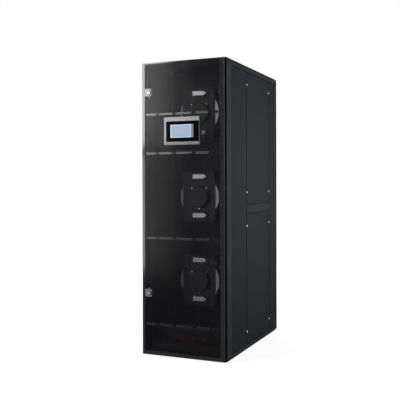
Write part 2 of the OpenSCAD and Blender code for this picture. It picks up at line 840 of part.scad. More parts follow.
// Folded frame: a face, an inner return round the opening and an outer return
module door_frame() {
  lap = mesh_lap;
  w = door_wall;
  difference() {
    span([-half_w, door_face, door_z0], [half_w, door_back, door_z1]);
    span([open_x0, door_face - 1, open_z0], [open_x1, door_back + 1, open_z1]);
    span([open_x0 - lap, door_face + w, open_z0 - lap], [open_x1 + lap, door_back + 1, open_z1 + lap]);
    for (x = [[-half_w + w, open_x0 - lap - w], [open_x1 + lap + w, half_w - w]])
      span([x[0], door_face + w, door_z0 + w], [x[1], door_back + 1, door_z1 - w]);
    for (z = [[door_z0 + w, open_z0 - lap - w], [open_z1 + lap + w, door_z1 - w]])
      span([-half_w + w, door_face + w, z[0]], [half_w - w, door_back + 1, z[1]]);
    for (z = hinge_zs)
      span([half_w - 2 * w, door_face + w, z - hinge_h / 2 - 4],
           [half_w + 1, door_back + 1, z + hinge_h / 2 + 4]);
  }
  for (z = hinge_zs) translate([hinge_x, hinge_y, z]) difference() {
    union() {
      translate([0, 0, clear]) cylinder(r = barrel_r, h = hinge_h / 2 - clear);
      span([open_x1 + lap + w - hinge_x, -5, clear], [0, 5, hinge_h / 2]);
    }
    translate([0, 0, -1]) cylinder(r = pin_r + run, h = hinge_h);
  }
}

module front_door_frame() { color(steel_black) door_frame(); }
module rear_door_frame() { color(steel_black) at_rear() door_frame(); }

// Perforated sheet behind the frame, bored for the locks and plain round them
lock_hole_r = lock_r + lock_wall + clear;
module door_sheet() {
  x0 = open_x0 - mesh_lap + clear;
  x1 = open_x1 + mesh_lap - clear;
  z0 = open_z0 - mesh_lap + clear;
  z1 = open_z1 + mesh_lap - clear;
  pitch_x = (open_x1 - open_x0) / mesh_nx;
  pitch_z = (open_z1 - open_z0) / mesh_nz;
  face_solid(door_face + door_wall, sheet) difference() {
    translate([x0, z0]) square([x1 - x0, z1 - z0]);
    for (i = [0:mesh_nx - 1], j = [0:mesh_nz - 1]) {
      x = open_x0 + (i + 0.5) * pitch_x;
      z = open_z0 + (j + 0.5) * pitch_z;
      to_lock = min([for (l = lock_zs) max(abs(x - lock_x) - pitch_x / 2, abs(z - l) - pitch_z / 2)]);
      if (to_lock > lock_hole_r)
        translate([x, z]) square([pitch_x - mesh_web, pitch_z - mesh_web], center = true);
    }
    for (z = lock_zs) translate([lock_x, z]) circle(lock_hole_r);
    children();
  }
}

module front_door_mesh() {
  color(steel_black) door_sheet() translate([display_x + panel_dx, display_z + panel_dz])
    square([panel_w + 1, panel_h + 1], center = true);
}

module rear_door_mesh() { color(steel_black) at_rear() door_sheet(); }

// Bars across the back of the sheet, with slots for the fixing screws
module door_bars() {
  y = door_face + door_wall + sheet;
  slots = [-187, -65, 78, 198];
  for (z = bar_zs) difference() {
    span([open_x0 - mesh_lap, y, z - bar_h / 2], [open_x1 + mesh_lap, y + bar_d, z + bar_h / 2]);
    span([open_x0, y + 2, z - bar_h / 2 + 2], [open_x1, y + bar_d + 1, z + bar_h / 2 - 2]);
    for (x = slots) translate([x, 0, z]) span([-13, y - 1, -4], [13, y + 4, 4]);
  }
}

module front_door_stiffeners() { color(steel_grey) door_bars(); }
module rear_door_stiffeners() { color(steel_grey) at_rear() door_bars(); }

// Plate and housing of each quarter-turn lock
module lock_plates() {
  for (z = lock_zs) translate([lock_x, 0, z]) difference() {
    union() {
      face_solid(-half_d + 1, proud + 1)
        translate([lock_plate_dx, 0]) round_rect(lock_plate_w, lock_plate_h, lock_corner);
      y_rod(lock_r + lock_wall, door_face + 1, door_t + 4);
    }
    y_rod(lock_r + run, -half_d - 1, door_t + 20);
  }
}

module front_lock_plates() { color(zinc) lock_plates(); }
module rear_lock_plates() { color(zinc) at_rear() lock_plates(); }

// Turning part of a lock: slotted plug and cam. It is drawn unlocked, cam upright.
module lock_plug(z) {
  cam_y = front_plane + keeper_t + 3.5;
  translate([lock_x, 0, z]) {
    difference() {
      y_rod(lock_r, -half_d, cam_y + half_d);
      translate([-1.5, -half_d - 1, -5]) cube([3, 4, 10]);
    }
    face_solid(cam_y, cam_t) {
      circle(lock_r + 1);
      translate([-cam_w / 2, 0]) square([cam_w, cam_l - cam_w / 2]);
      translate([0, cam_l - cam_w / 2]) circle(cam_w / 2);
    }
  }
}

module front_lock_lower() { color(zinc) lock_plug(lock_zs[0]); }
module front_lock_upper() { color(zinc) lock_plug(lock_zs[1]); }
module rear_lock_lower() { color(zinc) at_rear() lock_plug(lock_zs[0]); }
module rear_lock_upper() { color(zinc) at_rear() lock_plug(lock_zs[1]); }

// Display: silver bezel round a dark panel
module display_bezel() {
  color([0.8, 0.8, 0.81]) face_solid(-half_d, proud + door_wall)
    translate([display_x, display_z]) difference() {
      round_rect(bezel_w, bezel_h, 5);
      translate([panel_dx, panel_dz]) round_rect(panel_w, panel_h, 3);
    }
}

module display_panel() {
  color(plastic_black) translate([display_x, 0, display_z]) {
    face_solid(-half_d + 1.5, proud + door_wall + sheet - 1.5)
      translate([panel_dx, panel_dz]) round_rect(panel_w - 1, panel_h - 1, 2.5);
    face_solid(door_face + door_wall + sheet, 22)
      translate([panel_dx, panel_dz]) round_rect(panel_w + 16, panel_h + 16, 3);
  }
}

// ---------- Feet and casters ----------

boss_z = 46;
boss_r = 16;
rib_t = 12;
module foot_brackets() {
  color(steel_grey) for (x = [-1, 1], y = [-1, 1]) translate([x * foot_x, y * foot_y, 0]) difference() {
    union() {
      translate([0, 0, boss_z]) cylinder(r = boss_r, h = deck_z - deck_t - boss_z);
      mirror([x < 0 ? 1 : 0, 0, 0])
        span([0, -rib_t / 2, boss_z], [frame_x - foot_x - deck_t, rib_t / 2, deck_z - deck_t]);
    }
    translate([0, 0, boss_z - 1]) cylinder(r = stem_r + run, h = deck_z);
  }
}

module foot() {
  rotate_extrude() polygon([[0, 0], [foot_r, 0], [foot_r, 3], [stem_r + 2, skirt_gap], [stem_r, skirt_gap],
                            [stem_r, 84], [0, 84]]);
}

module foot_fl() { color(zinc) translate([-foot_x, -foot_y, 0]) foot(); }
module foot_fr() { color(zinc) translate([foot_x, -foot_y, 0]) foot(); }
module foot_rl() { color(zinc) translate([-foot_x, foot_y, 0]) foot(); }
module foot_rr() { color(zinc) translate([foot_x, foot_y, 0]) foot(); }

module caster_plates() {
  color(zinc) for (x = [-1, 1], y = [-1, 1]) translate([x * caster_x, y * caster_y, 0]) {
    translate([0, 0, raceway_z]) linear_extrude(4) round_rect(60, 60, 6);
    translate([0, 0, raceway_z - 14]) cylinder(r = pivot_r, h = 14);
  }
}

// Swivelling fork with its axle
module caster_fork() {
  top_z = raceway_z - clear;
  difference() {
    union() {
      translate([0, 0, top_z - 8]) cylinder(r = 25, h = 8);
      for (s = [-1, 1]) translate([s * (fork_w / 2) - 1.5, 0, 0]) rotate([90, 0, 90]) linear_extrude(3)
        polygon([[-12, top_z - 6], [16, top_z - 6], [trail + 9, axle_z], [trail, axle_z - 9],
                 [trail - 9, axle_z]]);
      translate([-fork_w / 2 - 1, trail, axle_z]) rotate([0, 90, 0]) cylinder(r = axle_r, h = fork_w + 2);
    }
    translate([0, 0, top_z - 13]) cylinder(r = pivot_r + run, h = 20);
  }
}

module caster_wheel() {
  translate([0, trail, axle_z]) rotate([0, 90, 0]) rotate_extrude() difference() {
    translate([axle_r + run, -wheel_w / 2]) square([wheel_r - axle_r - run, wheel_w]);
    for (s = [-1, 1]) translate([wheel_r * 0.62, s * wheel_w / 2]) circle(4);
  }
}

// Places a caster's pieces at a corner, sides given as -1 or 1
module at_caster(x, y) {
  translate([x * caster_x, y * caster_y, 0]) children();
}

module caster_fork_fl() { color(zinc) at_caster(-1, -1) caster_fork(); }
module caster_fork_fr() { color(zinc) at_caster(1, -1) caster_fork(); }
module caster_fork_rl() { color(zinc) at_caster(-1, 1) caster_fork(); }
module caster_fork_rr() { color(zinc) at_caster(1, 1) caster_fork(); }
module caster_wheel_fl() { color(plastic_black) at_caster(-1, -1) caster_wheel(); }
module caster_wheel_fr() { color(plastic_black) at_caster(1, -1) caster_wheel(); }
module caster_wheel_rl() { color(plastic_black) at_caster(-1, 1) caster_wheel(); }
module caster_wheel_rr() { color(plastic_black) at_caster(1, 1) caster_wheel(); }

cabinet_frame();
base_plate();
top_cover();
side_front_panels();
side_upper_panels();
side_lower_panels();
side_rear_panels();
side_panel_screws();
fan_bulkhead();
fan_brackets();
fan_motors();
fan_handles();
inlet_rings();
impeller_upper();
impeller_middle();
impeller_lower();
electrical_box();
electrical_cover();
phase_lamps();
coil_fins();
coil_end_plates();
coil_copper();
drain_pan();
condensate_pump();
water_pipes();
control_valve();
valve_actuator();
filter_frame();
filters();
door_gaskets();
hinge_leaves();
lock_keepers();
caster_plates();
foot_brackets();
front_door_frame();
front_door_mesh();
front_door_stiffeners();
front_lock_plates();
front_lock_upper();
front_lock_lower();
display_bezel();
display_panel();
rear_door_frame();
rear_door_mesh();
rear_door_stiffeners();
rear_lock_plates();
rear_lock_upper();
rear_lock_lower();
caster_fork_fl();
caster_fork_fr();
caster_fork_rl();
caster_fork_rr();
caster_wheel_fl();
caster_wheel_fr();
caster_wheel_rl();
caster_wheel_rr();
foot_fl();
foot_fr();
foot_rl();
foot_rr();
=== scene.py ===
"""Looks of the in-row cooling unit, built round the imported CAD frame. All sizes are in metres."""
from math import cos, pi, radians, sin, sqrt

import bpy
from mathutils import Matrix, Vector


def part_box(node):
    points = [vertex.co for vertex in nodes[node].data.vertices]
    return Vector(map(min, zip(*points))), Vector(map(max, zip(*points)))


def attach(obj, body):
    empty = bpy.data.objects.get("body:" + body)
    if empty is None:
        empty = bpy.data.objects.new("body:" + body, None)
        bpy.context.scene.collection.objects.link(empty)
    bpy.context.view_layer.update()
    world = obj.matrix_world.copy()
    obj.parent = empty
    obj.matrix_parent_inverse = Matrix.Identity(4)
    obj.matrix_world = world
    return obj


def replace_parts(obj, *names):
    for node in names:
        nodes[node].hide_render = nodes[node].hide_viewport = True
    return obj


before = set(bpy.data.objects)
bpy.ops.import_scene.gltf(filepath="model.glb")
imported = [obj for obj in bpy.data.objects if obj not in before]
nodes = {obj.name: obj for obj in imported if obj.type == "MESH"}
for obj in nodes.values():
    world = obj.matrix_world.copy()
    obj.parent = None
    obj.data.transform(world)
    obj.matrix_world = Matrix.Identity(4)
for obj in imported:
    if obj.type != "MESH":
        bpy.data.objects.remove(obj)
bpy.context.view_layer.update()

MM = 0.001


# ---------------------------------------------------------------- materials
# Places of the colour sockets on a mix node.
MIX_FIRST = 6
MIX_SECOND = 7
MIX_RESULT = 2


def new_material(name):
    """An empty node material: returns it, its tree and its Principled shader."""
    mat = bpy.data.materials.new(name)
    mat.use_nodes = True
    return mat, mat.node_tree, mat.node_tree.nodes["Principled BSDF"]


def node(tree, kind, **values):
    """A node with its properties and input values set."""
    made = tree.nodes.new(kind)
    for key, value in values.items():
        if hasattr(made, key):
            setattr(made, key, value)
        else:
            made.inputs[key.replace("_", " ")].default_value = value
    return made


def noise(tree, scale, detail=2.0, stretch=(1, 1, 1)):
    """Noise in object space, drawn out along an axis where stretch is small."""
    coords = tree.nodes.new("ShaderNodeTexCoord")
    mapping = tree.nodes.new("ShaderNodeMapping")
    mapping.inputs["Scale"].default_value = stretch
    made = node(tree, "ShaderNodeTexNoise", Scale=scale, Detail=detail)
    tree.links.new(coords.outputs["Object"], mapping.inputs["Vector"])
    tree.links.new(mapping.outputs["Vector"], made.inputs["Vector"])
    return made.outputs["Fac"]


def ramp(tree, value, low, high):
    """Maps 0.3 to 0.7 of a noise onto low to high."""
    made = node(tree, "ShaderNodeMapRange", From_Min=0.3, From_Max=0.7, To_Min=low, To_Max=high)
    tree.links.new(value, made.inputs["Value"])
    return made.outputs["Result"]


def mix_colour(tree, factor, first, second):
    """Mixes two colours, each plain or from a socket, by a factor."""
    made = tree.nodes.new("ShaderNodeMix")
    made.data_type = "RGBA"
    for place, colour in ((made.inputs[MIX_FIRST], first), (made.inputs[MIX_SECOND], second)):
        if isinstance(colour, tuple):
            place.default_value = (*colour, 1)
        else:
            tree.links.new(colour, place)
    tree.links.new(factor, made.inputs[0])
    return made.outputs[MIX_RESULT]


def scaled(colour, factor):
    return tuple(min(1.0, c * factor) for c in colour)


def surface(name, colour, rough, metallic=0.0, specular=0.5, grain=0.1, grain_scale=900,
            stretch=(1, 1, 1), mottle=0.06, edge=0.0006, wear_and_highlight=0.0, patch_scale=7.0,
            patch_stretch=(1, 1, 1)):
    """A painted, plated or moulded surface: grain, uneven gloss, soft edges, and edges lightened, partly as
    rubbed paint and partly as a painted highlight.
    """
    mat, tree, shader = new_material(name)
    shader.inputs["Metallic"].default_value = metallic
    shader.inputs["Specular IOR Level"].default_value = specular
    soft = node(tree, "ShaderNodeBevel", samples=4, Radius=edge)
    bump = node(tree, "ShaderNodeBump", Strength=grain, Distance=0.0004)
    tree.links.new(noise(tree, grain_scale, 2.0, stretch), bump.inputs["Height"])
    tree.links.new(soft.outputs["Normal"], bump.inputs["Normal"])
    tree.links.new(bump.outputs["Normal"], shader.inputs["Normal"])
    patches = noise(tree, patch_scale, 4.0, patch_stretch)
    tree.links.new(ramp(tree, patches, rough - mottle, rough + mottle), shader.inputs["Roughness"])
    tint = mix_colour(tree, ramp(tree, patches, 0.0, 1.0), scaled(colour, 0.93), scaled(colour, 1.07))
    # Edges lighter: partly rubbed paint, partly a painted highlight.
    if wear_and_highlight:
        geometry = tree.nodes.new("ShaderNodeNewGeometry")
        turn = node(tree, "ShaderNodeVectorMath", operation="DOT_PRODUCT")
        tree.links.new(soft.outputs["Normal"], turn.inputs[0])
        tree.links.new(geometry.outputs["True Normal"], turn.inputs[1])
        rubbed_and_lit = node(tree, "ShaderNodeMapRange", From_Min=0.995, From_Max=0.8, To_Min=0.0, To_Max=wear_and_highlight)
        tree.links.new(turn.outputs["Value"], rubbed_and_lit.inputs["Value"])
        tint = mix_colour(tree, rubbed_and_lit.outputs["Result"], tint, scaled(colour, 2.5))
    tree.links.new(tint, shader.inputs["Base Color"])
    return mat


def two_tone(mat, tone, axis, test, limit):
    """Another colour where the size of a coordinate passes a test against a limit."""
    tree = mat.node_tree
    base = tree.nodes["Principled BSDF"].inputs["Base Color"]
    coords = tree.nodes.new("ShaderNodeTexCoord")
    apart = tree.nodes.new("ShaderNodeSeparateXYZ")
    size = node(tree, "ShaderNodeMath", operation="ABSOLUTE")
    passed = node(tree, "ShaderNodeMath", operation=test)
    passed.inputs[1].default_value = limit
    tree.links.new(coords.outputs["Object"], apart.inputs[0])
    tree.links.new(apart.outputs[axis], size.inputs[0])
    tree.links.new(size.outputs[0], passed.inputs[0])
    tree.links.new(mix_colour(tree, passed.outputs[0], base.links[0].from_socket, tone), base)


def glowing(name, colour, strength):
    """A lit screen or lamp."""
    mat, tree, shader = new_material(name)
    shader.inputs["Base Color"].default_value = (*scaled(colour, 0.1), 1)
    shader.inputs["Roughness"].default_value = 0.25
    shader.inputs["Specular IOR Level"].default_value = 0.02
    shader.inputs["Emission Color"].default_value = (*colour, 1)
    shader.inputs["Emission Strength"].default_value = strength
    return mat


# Where paint gives way to another tone: the covers' and the frame's inner faces, darker as painted shade; the
# front posts, lighter as a painted highlight; the rim under the roof, a painted shadow line; and what lies
# behind the locks' faces, darker as painted shade.
COVER_INSIDE_X = 298.2 * MM
FRAME_INSIDE_X = 298.5 * MM
FRONT_POST_Y = 470 * MM
ROOF_RIM_Z = 1992 * MM
LOCK_FACE_Y = 590 * MM

paint_panel = surface("paint_panel", (0.026, 0.028, 0.031), 0.65, specular=0.01, grain=0.16, wear_and_highlight=0.5)
# Inner faces of the covers darker than their outsides: painted shade.
two_tone(paint_panel, (0.005, 0.005, 0.0055), "X", "LESS_THAN", COVER_INSIDE_X)
paint_roof = surface("paint_roof", (0.012, 0.012, 0.013), 0.6, specular=0.05, grain=0.16, wear_and_highlight=0.5)
# Near-black lip: painted shade standing in for the perforated sheet over the dark inside.
paint_lip_shade = surface("paint_lip_shade", (0.002, 0.002, 0.003), 0.2, specular=0.055, mottle=0.02, grain=0.03)
paint_frame = surface("paint_frame", (0.026, 0.028, 0.031), 0.62, specular=0.02, grain=0.16, wear_and_highlight=0.3)
# Posts lighter near the front and rear faces: a painted highlight.
two_tone(paint_frame, (0.035, 0.0375, 0.041), "Y", "GREATER_THAN", FRONT_POST_Y)
# A near-black band under the roof: a painted shadow line.
two_tone(paint_frame, (0.003, 0.003, 0.0035), "Z", "GREATER_THAN", ROOF_RIM_Z)
# Inner faces of the frame darker: painted shade.
two_tone(paint_frame, (0.006, 0.006, 0.0065), "X", "LESS_THAN", FRAME_INSIDE_X)
paint_body = surface("paint_body", (0.002, 0.002, 0.0022), 0.7, specular=0.0, grain=0.1)
rim_grey = surface("rim_grey", (0.1, 0.102, 0.108), 0.42, metallic=0.5, grain=0.05)
# Lighter paint of the hinge-side bead: a painted highlight along the door's edge.
paint_edge_highlight = surface("paint_edge_highlight", (0.015, 0.015, 0.018), 0.4, specular=0.25, grain=0.05)
paint_door = surface("paint_door", (0.003, 0.003, 0.0045), 0.1, specular=0.22, mottle=0.02, grain=0.03,
                     wear_and_highlight=0.5)
paint_mesh = surface("paint_mesh", (0.004, 0.004, 0.0075), 0.2, specular=0.195, mottle=0.035, grain=0.03,
                     edge=0.0003, patch_scale=45.0, patch_stretch=(1, 1, 0.04))
paint_bar = surface("paint_bar", (0.022, 0.022, 0.024), 0.3, specular=0.42, grain=0.05)
# Darker copy of the bar paint: painted shade on the lower bars.
paint_bar_shaded = surface("paint_bar_shaded", (0.014, 0.014, 0.016), 0.33, specular=0.24, grain=0.05)
screw_grey = surface("screw_grey", (0.6, 0.6, 0.6), 0.45, metallic=0.5, grain=0.03)
paint_inner = surface("paint_inner", (0.006, 0.006, 0.0065), 0.6, specular=0.05, grain=0.12)
paint_bracket = surface("paint_bracket", (0.009, 0.009, 0.0095), 0.6, specular=0.1, grain=0.12)
zinc = surface("zinc", (0.4, 0.41, 0.43), 0.42, metallic=0.9, grain=0.05, grain_scale=180, mottle=0.12)
lock_plate = surface("lock_plate", (0.072, 0.072, 0.074), 0.42, metallic=1.0, grain=0.05)
lock_metal = surface("lock_metal", (0.17, 0.17, 0.174), 0.32, metallic=1.0, grain=0.03)
# Lock metal inside the door darkened: painted shade.
two_tone(lock_metal, (0.01, 0.01, 0.01), "Y", "LESS_THAN", LOCK_FACE_Y)
bright = surface("bright", (0.72, 0.72, 0.73), 0.25, metallic=1.0, grain=0.03)
handle_grey = surface("handle_grey", (0.16, 0.16, 0.167), 0.42, metallic=0.7, grain=0.06)
disc_grey = surface("disc_grey", (0.36, 0.37, 0.39), 0.45, metallic=0.5, grain=0.05)
brushed = surface("brushed", (0.085, 0.085, 0.089), 0.36, metallic=0.5, specular=0.1, grain=0.25,
                  grain_scale=500, stretch=(0.02, 1, 1))
fins = surface("fins", (0.6, 0.62, 0.65), 0.4, metallic=0.9, grain=0.15, stretch=(1, 1, 0.05))
copper = surface("copper", (0.6, 0.28, 0.16), 0.35, metallic=1.0, grain=0.06, mottle=0.14)
brass = surface("brass", (0.6, 0.45, 0.2), 0.38, metallic=1.0, grain=0.1)
pale_plastic = surface("pale_plastic", (0.6, 0.6, 0.57), 0.5, grain=0.1)
black_plastic = surface("black_plastic", (0.006, 0.006, 0.007), 0.3, specular=0.2, grain=0.05)
glass_black = surface("glass_black", (0.0006, 0.0011, 0.0022), 0.06, specular=0.03, grain=0.0, mottle=0.01)
rubber = surface("rubber", (0.012, 0.012, 0.012), 0.75, specular=0.2, grain=0.3, grain_scale=400)
foam = surface("foam", (0.01, 0.01, 0.01), 0.95, specular=0.05, grain=0.8, grain_scale=1500)
media = surface("media", (0.62, 0.64, 0.62), 0.9, specular=0.1, grain=0.6, grain_scale=1200)
red_lens = glowing("red_lens", (0.4, 0.015, 0.015), 0.24)

FINISH = {
    paint_panel: ("side_front_panels", "side_upper_panels", "side_lower_panels", "side_rear_panels"),
    paint_roof: ("top_cover",),
    paint_frame: ("cabinet_frame",),
    paint_inner: ("base_plate", "electrical_box", "electrical_cover", "fan_bulkhead"),
    paint_body: ("front_door_frame", "rear_door_frame", "hinge_leaves"),
    paint_bracket: ("fan_brackets", "fan_motors"),
    paint_door: ("front_door_mesh", "rear_door_mesh"),
    paint_bar: ("front_door_stiffeners", "rear_door_stiffeners"),
    zinc: ("coil_end_plates", "drain_pan", "filter_frame", "lock_keepers", "caster_plates", "foot_brackets",
           "caster_fork_fl", "caster_fork_fr", "caster_fork_rl", "caster_fork_rr", "foot_fl", "foot_fr",
           "foot_rl", "foot_rr"),
    bright: ("side_panel_screws",),
    lock_plate: ("front_lock_plates", "rear_lock_plates"),
    lock_metal: ("front_lock_upper", "front_lock_lower", "rear_lock_upper", "rear_lock_lower"),
    handle_grey: ("fan_handles",),
    disc_grey: ("impeller_upper", "impeller_middle", "impeller_lower", "inlet_rings"),
    fins: ("coil_fins",),
    copper: ("coil_copper", "water_pipes"),
    brass: ("control_valve",),
    pale_plastic: ("valve_actuator",),
    black_plastic: ("condensate_pump", "display_panel"),
    rubber: ("caster_wheel_fl", "caster_wheel_fr", "caster_wheel_rl", "caster_wheel_rr"),
    foam: ("door_gaskets",),
    media: ("filters",),
    red_lens: ("phase_lamps",),
    brushed: ("display_bezel",),
}
for finish, names in FINISH.items():
    for name in names:
        for place in nodes[name].material_slots:
            place.material = finish


# ------------------------------------------------------------------- pieces
class Shape:
    """Collects vertices and faces of one piece."""

    def __init__(self):
        self.verts = []
        self.faces = []

    def add(self, verts, faces):
        first = len(self.verts)
        self.verts += [tuple(v) for v in verts]
        self.faces += [tuple(first + i for i in face) for face in faces]

    def box(self, low, high):
        """A box between two corners."""
        self.add([(x, y, z) for x in (low[0], high[0]) for y in (low[1], high[1]) for z in (low[2], high[2])],
                 [(0, 1, 3, 2), (4, 6, 7, 5), (0, 4, 5, 1), (2, 3, 7, 6), (0, 2, 6, 4), (1, 5, 7, 3)])

    def lathe(self, profile, centre, facing, steps=32):
        """Turns a profile of (radius, distance) round an axis through the centre that points along facing."""
        turn = Vector((0, 0, 1)).rotation_difference(Vector(facing)).to_matrix()
        rows = []
        for radius, along in profile:
            row = []
            for k in range(steps if radius > 0 else 1):
                a = 2 * pi * k / steps
                row.append(Vector(centre) + turn @ Vector((radius * cos(a), radius * sin(a), along)))
            rows.append(row)
        verts = []
        faces = []
        for row in rows:
            verts += row
        start = 0
        for row, after in zip(rows, rows[1:]):
            n = start + len(row)
            for k in range(steps):
                m = (k + 1) % steps
                quad = [start + k % len(row), start + m % len(row), n + m % len(after), n + k % len(after)]
                face = tuple(dict.fromkeys(quad))
                if len(face) > 2:
                    faces.append(face)
            start = n
        self.add(verts, faces)

    def prism(self, outline, y0, y1):
        """A flat outline of (x, z) points drawn out along Y."""
        n = len(outline)
        verts = [(x, y, z) for y in (y0, y1) for x, z in outline]
        faces = [tuple(range(n)), tuple(range(2 * n - 1, n - 1, -1))]
        faces += [(k, n + k, n + (k + 1) % n, (k + 1) % n) for k in range(n)]
        self.add(verts, faces)

    def make(self, name, finish, body, slot, smooth=False, bevel=0.0):
        """The finished piece, riding on a CAD body, with its finish."""
        mesh = bpy.data.meshes.new(name)
        mesh.from_pydata(self.verts, [], self.faces)
        mesh.validate()
        made = bpy.data.objects.new(name, mesh)
        bpy.context.scene.collection.objects.link(made)
        mesh.materials.append(finish)
        if smooth:
            mesh.shade_smooth()
            mesh.set_sharp_from_angle(angle=radians(35))
        if bevel:
            rounded = made.modifiers.new("rounded", "BEVEL")
            rounded.width = bevel
            rounded.segments = 2
            rounded.limit_method = "ANGLE"
        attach(made, body)
        return made


def middle(name):
    """The middle of a CAD node's box."""
    low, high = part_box(name)
    return (low + high) / 2


def profile(*points):
    """A lathe profile of (radius, distance) points given in millimetres."""
    return [(radius * MM, along * MM) for radius, along in points]


def rounded_rect(x0, z0, x1, z1, radius, steps=6):
    """Outline of a rectangle with round corners."""
    outline = []
    for x, z, start in ((x1 - radius, z1 - radius, 0), (x0 + radius, z1 - radius, 1),
                        (x0 + radius, z0 + radius, 2), (x1 - radius, z0 + radius, 3)):
        for k in range(steps + 1):
            a = (start + k / steps) * pi / 2
            outline.append((x + radius * cos(a), z + radius * sin(a)))
    return outline


def frame_ring(outer, inner, y0, y1):
    """A flat frame facing -Y between two boxes (x0, z0, x1, z1)."""
    shape = Shape()
    verts = []
    for y in (y0, y1):
        for box in (outer, inner):
            verts += [(box[0], y, box[1]), (box[2], y, box[1]), (box[2], y, box[3]), (box[0], y, box[3])]
    faces = []
    for k in range(4):
        m = (k + 1) % 4
        faces += [(k, m, 4 + m, 4 + k), (8 + k, 12 + k, 12 + m, 8 + m), (k, 8 + k, 8 + m, m),
                  (4 + k, 4 + m, 12 + m, 12 + k)]
    shape.add(verts, faces)
    return shape


def put_on_door(end, pieces):
    """Turns pieces drawn at the front door round to the rear door, where they belong there."""
    if end == "rear":
        for piece in pieces:
            piece.data.transform(Matrix.Rotation(pi, 4, "Z"))


DOORS = (("front", "front_door"), ("rear", "rear_door"))

# Door faces: the glossy front of each folded door frame, a dark lip at its top edge whose near-black paint is
# painted shade standing in for the perforated sheet over the dark inside, a bead down the hinge side whose
# lighter paint is a painted highlight, and a cover over the upper hinge.
DOOR_OPENING = (-280 * MM, 38 * MM, 266 * MM, 1980 * MM)
FACE_TOP = 8 * MM
FACE_INSET = 0.5 * MM
FACE_DEPTH = 0.4 * MM
BEAD_X = (293 * MM, 296.5 * MM)
BEAD_Y = (0.9 * MM, 0.3 * MM)
HINGE_PLATE_X = 258 * MM
HINGE_PLATE_Z = 1779 * MM
HINGE_PLATE_HALF = 47 * MM
doors_low, doors_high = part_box("front_door_frame")
DOOR_FACE = doors_low.y
for end, body in DOORS:
    ring = frame_ring((doors_low.x + FACE_INSET, doors_low.z + FACE_INSET,
                       doors_high.x - FACE_INSET, doors_high.z - FACE_INSET),
                      (DOOR_OPENING[0], DOOR_OPENING[1], DOOR_OPENING[2], doors_high.z - FACE_TOP),
                      DOOR_FACE - FACE_DEPTH, DOOR_FACE)
    lip = Shape()
    lip.box((DOOR_OPENING[0], DOOR_FACE - 0.2 * MM, DOOR_OPENING[3]),
            (DOOR_OPENING[2], DOOR_FACE, doors_high.z - FACE_TOP))
    bead = Shape()
    bead.box((BEAD_X[0], DOOR_FACE - BEAD_Y[0], doors_low.z + 2 * MM),
             (BEAD_X[1], DOOR_FACE - BEAD_Y[1], doors_high.z - 2 * MM))
    plate = Shape()
    plate.box((HINGE_PLATE_X, DOOR_FACE - FACE_DEPTH, HINGE_PLATE_Z - HINGE_PLATE_HALF),
              (DOOR_OPENING[2] + 1 * MM, DOOR_FACE + 1.8 * MM, HINGE_PLATE_Z + HINGE_PLATE_HALF))
    put_on_door(end, [ring.make(f"{end}_door_face", paint_door, body, "door_paint", bevel=0.3 * MM),
                      lip.make(f"{end}_door_lip", paint_lip_shade, body, "door_paint"),
                      bead.make(f"{end}_door_bead", paint_edge_highlight, body, "door_paint", bevel=0.2 * MM),
                      plate.make(f"{end}_hinge_cover", paint_door, body, "door_paint", bevel=0.5 * MM)])

# Perforated door sheets: hexagonal holes, flat at top and bottom, in staggered columns.
HOLE_PITCH = 14.2 * MM
HOLE_FLATS = 12.2 * MM


def hex_sheet(name, cad_node, body, covered):
    """A sheet as large as its CAD node, without the cells that lie in a covered box (x0, z0, x1, z1)."""
    low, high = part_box(cad_node)
    outer_r = HOLE_PITCH / sqrt(3)
    inner_r = HOLE_FLATS / sqrt(3)
    columns = round((high.x - low.x - outer_r / 2) / (1.5 * outer_r))
    step_x = (high.x - low.x) / (columns + 1 / 3)
    rows = round((high.z - low.z) / HOLE_PITCH - 0.5)
    step_z = (high.z - low.z) / (rows + 0.5)
    wide = step_x / 1.5
    corners = [(cos(k * pi / 3), sin(k * pi / 3)) for k in range(6)]
    verts = []
    faces = []
    shared = {}

    def outer_vertex(x, z):
        key = (round(x / step_x * 6), round(z / step_z * 4))
        if key not in shared:
            shared[key] = len(verts)
            verts.append([low.x + x, low.y, low.z + z])
        return shared[key]

    for i in range(columns):
        for j in range(rows):
            x = (i + 2 / 3) * step_x
            z = (j + 0.5 + 0.5 * (i % 2)) * step_z
            at = (low.x + x, low.z + z)
            if any(c[0] < at[0] < c[2] and c[1] < at[1] < c[3] for c in covered):
                continue
            ring = []
            for k, (a, b) in enumerate(corners):
                v = outer_vertex(x + wide * a, z + step_z * b / sqrt(3))
                ring.append(v)
                if i == 0 and k in (2, 3, 4):
                    verts[v][0] = low.x
                if i == columns - 1 and k in (0, 1, 5):
                    verts[v][0] = high.x
                if j == 0 and k in (4, 5):
                    verts[v][2] = low.z
                if j == rows - 1 and k in (1, 2):
                    verts[v][2] = high.z
            inner = []
            for a, b in corners:
                inner.append(len(verts))
                verts.append([at[0] + inner_r * a, low.y, at[1] + inner_r * b])
            for k in range(6):
                m = (k + 1) % 6
                faces.append((ring[k], ring[m], inner[m], inner[k]))
    shape = Shape()
    shape.add(verts, faces)
    sheet = shape.make(name, paint_mesh, body, "door_paint")
    solid = sheet.modifiers.new("thickness", "SOLIDIFY")
    solid.thickness = high.y - low.y
    solid.offset = 1.0
    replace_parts(sheet, cad_node)


def around(centre, half_x, half_z):
    """A box (x0, z0, x1, z1) round a centre."""
    return (centre.x - half_x, centre.z - half_z, centre.x + half_x, centre.z + half_z)


